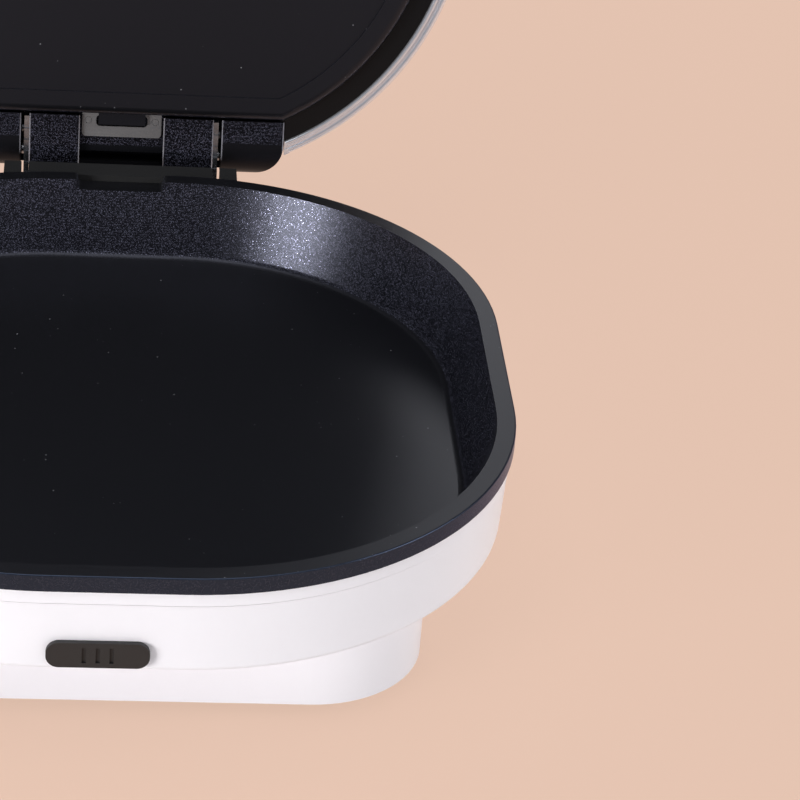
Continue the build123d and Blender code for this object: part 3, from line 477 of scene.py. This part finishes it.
class GRIDDLE_OT_castings(bpy.types.Operator):
    """Coat the two pans and the hinge casting"""

    bl_idname = "griddle.castings"
    bl_label = "Non-stick Castings"

    def execute(self, context):
        coat = context.scene.griddle_coat
        lower = flecked("flecked_lower_pan", coat, PAN_MOUTH, WALL_FACES, lip=True)
        paint(lower, "lower_pan")
        paint(flecked("flecked_upper_pan", coat, LID_MOUTH, WALL_FACES), "upper_pan")
        casting = flecked("flecked_casting", coat, LID_MOUTH, MOUTH_FACES,
                          ior=CASTING_IOR, casting=True)
        paint(casting, "hinge_casting")
        return {"FINISHED"}


class GRIDDLE_OT_housing(bpy.types.Operator):
    """Finish the white housing, the lid, the handle and the buttons"""

    bl_idname = "griddle.housing"
    bl_label = "White Mouldings"

    def execute(self, context):
        look = context.scene.griddle_mouldings
        shell = grained("white_moulding", look.housing, scale=900.0, clouding=0.03,
                        roughness=0.3, spread=0.08, depth=look.grain * 0.2,
                        IOR=1.4, Coat_Weight=0.08, Coat_Roughness=0.15)
        paint(shell, "base_shell", "base_collar", "lid_shell", "lid_handle")
        button = grained("white_button", look.housing, scale=2200.0, clouding=0.04,
                         roughness=0.42, spread=0.1, depth=look.grain * 0.4)
        paint(button, "upper_pan_button", "lower_pan_button")
        return {"FINISHED"}


class GRIDDLE_OT_black_parts(bpy.types.Operator):
    """Finish the black mouldings, the hinge bracket and the rubber"""

    bl_idname = "griddle.black_parts"
    bl_label = "Black Parts"

    def execute(self, context):
        look = context.scene.griddle_mouldings
        matt = grained("textured_black", look.black, scale=1800.0, clouding=0.25,
                       roughness=0.55, spread=0.2, depth=look.grain)
        paint(matt, "bottom_cover", "lower_pan_catch", "upper_pan_catch")
        heatproof = grained("heatproof_black", look.black, scale=1200.0, clouding=0.3,
                            roughness=0.5, spread=0.15, depth=look.grain)
        paint(heatproof, "terminal_block", "lower_thermostat", "upper_thermostat")
        bracket = grained("matte_bracket", linear(20, 20, 21), scale=1500.0, clouding=0.3,
                          roughness=0.6, spread=0.2, depth=look.grain)
        paint(bracket, "hinge_bracket")
        gloss = grained("gloss_black", look.gloss, scale=500.0, clouding=0.15,
                        roughness=0.14, spread=0.08, depth=look.grain * 0.05,
                        Coat_Weight=0.6, Coat_Roughness=0.06)
        paint(gloss, "control_panel")
        liner = grained("liner_black", look.gloss, scale=500.0, clouding=0.15,
                        roughness=0.2, spread=0.08, depth=look.grain * 0.05, IOR=1.3)
        paint(liner, "lid_liner")
        rubber = grained("rubber", look.rubber, scale=1400.0, clouding=0.35,
                         roughness=0.78, spread=0.2, depth=look.grain * 2)
        paint(rubber, "cord_gland", "foot_front_left", "foot_front_right",
              "foot_back_left", "foot_back_right")
        return {"FINISHED"}


class GRIDDLE_OT_metalwork(bpy.types.Operator):
    """Finish the ring, the hinge steel, the screws, the reflectors and the heaters"""

    bl_idname = "griddle.metalwork"
    bl_label = "Metalwork"

    def execute(self, context):
        look = context.scene.griddle_metal
        ring = brushed("plated_ring", look.trim, lines=(2500, 2500, 2500), contrast=0.03,
                       roughness=0.14, spread=0.02, depth=0.0000002, metallic=0.8)
        paint(ring, "lid_trim_ring")
        plate = brushed("satin_plate", look.satin, lines=(60, 6000, 6000), contrast=0.16,
                        roughness=0.42, spread=0.16, depth=0.00001)
        paint(plate, "rear_catch_bracket", "catch_bracket_screws")
        # The strong contrast paints bright and dark patches along the hinge steel: a painted
        # highlight and shade.
        plated = brushed("plated_hinge_painted_glints", look.plated, lines=(300, 240, 240), contrast=1.4,
                         roughness=0.24, spread=0.16, depth=0.00012)
        paint(plated, "hinge_leaf_left", "hinge_leaf_right", "hinge_pin_left",
              "hinge_pin_right", "leaf_rivets", "lower_pan_keeper", "upper_pan_keeper")
        zinc = brushed("zinc_screw", look.screw, lines=(1500, 1500, 1500), contrast=0.14,
                       roughness=0.34, spread=0.14, depth=0.00001)
        paint(zinc, "cover_screws", "hinge_bracket_screws", "hinge_casting_screws",
              "handle_screws", "control_board_screws", "lower_reflector_screws",
              "upper_reflector_screws")
        sheet = brushed("rolled_sheet", look.sheet, lines=(40, 3000, 3000), contrast=0.1,
                        roughness=0.3, spread=0.16, depth=0.00001)
        paint(sheet, "lower_reflector", "upper_reflector",
              "lower_element_clips", "upper_element_clips")
        sheath = grained("heater_sheath", look.tube, scale=700.0, clouding=0.5,
                         roughness=0.5, spread=0.2, depth=0.00002, Metallic=1.0)
        paint(sheath, "lower_heating_element", "upper_heating_element")
        return {"FINISHED"}


class GRIDDLE_OT_electrics(bpy.types.Operator):
    """Finish the circuit board and the two lamps"""

    bl_idname = "griddle.electrics"
    bl_label = "Board and Lamps"

    def execute(self, context):
        board = grained("circuit_board", linear(28, 92, 62), scale=350.0, clouding=0.5,
                        roughness=0.4, spread=0.15, depth=0.00003)
        paint(board, "control_board")
        lamps = {"power_lamp": linear(176, 28, 24), "ready_lamp": linear(40, 150, 70)}
        for name, colour in lamps.items():
            lens = grained(name + "_lens", colour, scale=600.0, clouding=0.2,
                           roughness=0.16, spread=0.06, depth=0.000005,
                           Transmission_Weight=0.5, IOR=1.49)
            paint(lens, name)
        return {"FINISHED"}


# Each softbox: its name, its direction from the pan's middle, its distance, its width and height
# in metres, and its radiance.
SOFTBOXES = (
    ("left_softbox", (-0.72, -0.68, 0.14), 1.7, (0.7, 0.36), 25.8),
    ("front_softbox", (0.35, -0.85, 0.42), 1.9, (1.2, 0.9), 0.35),
    ("right_softbox", (0.95, -0.2, 0.4), 1.8, (0.9, 0.7), 6.4),
    ("top_softbox", (0.0, -0.15, 1.0), 1.7, (1.4, 1.4), 2.2),
    ("back_softbox", (0.14, 0.87, 0.49), 1.8, (0.3, 0.6), 2.2),
    ("rear_softbox", (-0.5, 0.85, 0.15), 1.9, (1.2, 0.8), 1.5),
)


def hang_softbox(name, direction, distance, size, radiance):
    """A rectangular lamp that faces the griddle."""
    lamp = bpy.data.lights.new(name, "AREA")
    lamp.shape = "RECTANGLE"
    lamp.size, lamp.size_y = size
    lamp.energy = radiance * pi * size[0] * size[1]
    holder = bpy.data.objects.new(name, lamp)
    towards = Vector(direction).normalized()
    holder.location = Vector((0, PAN_MIDDLE, RIM)) + towards * distance
    holder.rotation_mode = "QUATERNION"
    holder.rotation_quaternion = (-towards).to_track_quat("-Z", "Y")
    bpy.context.scene.collection.objects.link(holder)


def seen_directly(tree):
    """1 for rays from the camera, and 1 for mirrored or refracted ones."""
    path = tree.nodes.new("ShaderNodeLightPath").outputs
    mirrored = calc(tree, "MAXIMUM", path["Is Glossy Ray"], path["Is Transmission Ray"])
    return path["Is Camera Ray"], mirrored


# Height of a ray, from 0 along the floor to 1 straight up, over which gloss stops mirroring the
# backdrop's colour.
HORIZON_FADE = (0.02, 0.12)


def light_world(studio):
    """Even light from all round, with the backdrop's colour for the camera and the horizon."""
    world = bpy.data.worlds.new("studio")
    bpy.context.scene.world = world
    world.use_nodes = True
    tree = world.node_tree
    tree.nodes.clear()
    direction = tree.nodes.new("ShaderNodeTexCoord").outputs["Generated"]
    height = add(tree, "ShaderNodeSeparateXYZ", {0: direction}, output=2)
    horizon = ramp(tree, height, *HORIZON_FADE, 1.0, 0.0)
    viewed, mirrored = seen_directly(tree)
    shown = calc(tree, "MAXIMUM", viewed, calc(tree, "MULTIPLY", horizon, mirrored))
    colour = blend_colours(tree, shown, studio.sky, studio.backdrop)
    light = add(tree, "ShaderNodeBackground", {"Color": colour, "Strength": 1.0})
    add(tree, "ShaderNodeOutputWorld", {"Surface": light})


# The floor: its radius, the distances in metres between which its own shading fades out, how
# much of it glows near the griddle and far away, and its colour for the light that it returns.
FLOOR_RADIUS = 6.0
FLOOR_FADE = (0.3, 0.9)
FLOOR_GLOW = (0.86, 1.0)
FLOOR_RETURN = (0.8, 0.79, 0.79)


def lay_floor(studio):
    """A round floor that takes the griddle's shadow near it and runs into the horizon's colour."""
    bpy.ops.mesh.primitive_circle_add(vertices=96, radius=FLOOR_RADIUS, fill_type="NGON")
    floor = bpy.context.active_object
    floor.name = "studio_floor"
    material = bpy.data.materials.new("studio_floor")
    material.use_nodes = True
    tree = material.node_tree
    tree.nodes.clear()
    far = turn(tree, "LENGTH", place_on_piece(tree), output="Value")
    flat = ramp(tree, far, *FLOOR_FADE, *FLOOR_GLOW)
    seen = calc(tree, "MAXIMUM", *seen_directly(tree))
    colour = blend_colours(tree, seen, FLOOR_RETURN, studio.backdrop)
    paper = add(tree, "ShaderNodeBsdfDiffuse", {"Color": colour})
    glow = add(tree, "ShaderNodeEmission", {"Color": studio.backdrop, "Strength": 1.0})
    share = calc(tree, "MULTIPLY", flat, seen)
    surface = add(tree, "ShaderNodeMixShader", {0: share, 1: paper, 2: glow})
    add(tree, "ShaderNodeOutputMaterial", {"Surface": surface})
    floor.data.materials.append(material)


# The camera, as fitted to the photograph: its lens in millimetres, its distance in metres from
# the point that it looks at, how far it looks down, and how far it is turned and rolled.
LENS = 146.9
DISTANCE = 1.027
PITCH, YAW, ROLL = radians(29.22), radians(-6.34), radians(-4.81)
TARGET = Vector((0.0883, PAN_MIDDLE - 0.0250, RIM))


def set_camera():
    """The photograph's view: from the front, a little to the right and above."""
    forward = Vector((-sin(YAW) * cos(PITCH), cos(YAW) * cos(PITCH), -sin(PITCH)))
    level = Vector((cos(YAW), sin(YAW), 0))
    upright = level.cross(forward)
    right = cos(ROLL) * level - sin(ROLL) * upright
    up = sin(ROLL) * level + cos(ROLL) * upright
    lens = bpy.data.cameras.new("camera")
    lens.lens = LENS
    camera = bpy.data.objects.new("camera", lens)
    turned = Matrix((right, up, -forward)).transposed().to_4x4()
    camera.matrix_world = Matrix.Translation(TARGET - DISTANCE * forward) @ turned
    bpy.context.scene.collection.objects.link(camera)
    bpy.context.scene.camera = camera


class GRIDDLE_OT_studio(bpy.types.Operator):
    """Set up the floor, the softboxes, the sky and the camera"""

    bl_idname = "griddle.studio"
    bl_label = "Studio"

    def execute(self, context):
        studio = context.scene.griddle_studio
        lay_floor(studio)
        light_world(studio)
        for name, direction, distance, size, radiance in SOFTBOXES:
            hang_softbox(name, direction, distance, size, radiance * studio.lamps)
        set_camera()
        context.scene.view_settings.view_transform = "Standard"
        return {"FINISHED"}


STEPS = (
    GRIDDLE_OT_castings,
    GRIDDLE_OT_housing,
    GRIDDLE_OT_black_parts,
    GRIDDLE_OT_metalwork,
    GRIDDLE_OT_electrics,
    GRIDDLE_OT_studio,
)


class GRIDDLE_PT_looks(bpy.types.Panel):
    """Lists the griddle's settings and the steps that use them"""

    bl_idname = "GRIDDLE_PT_looks"
    bl_label = "Clamshell Griddle"
    bl_space_type = "VIEW_3D"
    bl_region_type = "UI"
    bl_category = "Griddle"

    def draw(self, context):
        for name, group in SETTINGS.items():
            box = self.layout.box()
            for setting in group.__annotations__:
                box.prop(getattr(context.scene, name), setting)
        for step in STEPS:
            self.layout.operator(step.bl_idname)


def register():
    for cls in (*SETTINGS.values(), *STEPS, GRIDDLE_PT_looks):
        bpy.utils.register_class(cls)
    for name, group in SETTINGS.items():
        setattr(bpy.types.Scene, name, PointerProperty(type=group))


def unregister():
    for name in SETTINGS:
        delattr(bpy.types.Scene, name)
    for cls in (GRIDDLE_PT_looks, *reversed(STEPS), *reversed(SETTINGS.values())):
        bpy.utils.unregister_class(cls)


def main():
    register()
    for step in STEPS:
        family, name = step.bl_idname.split(".")
        getattr(getattr(bpy.ops, family), name)()


if __name__ == "__main__":
    main()
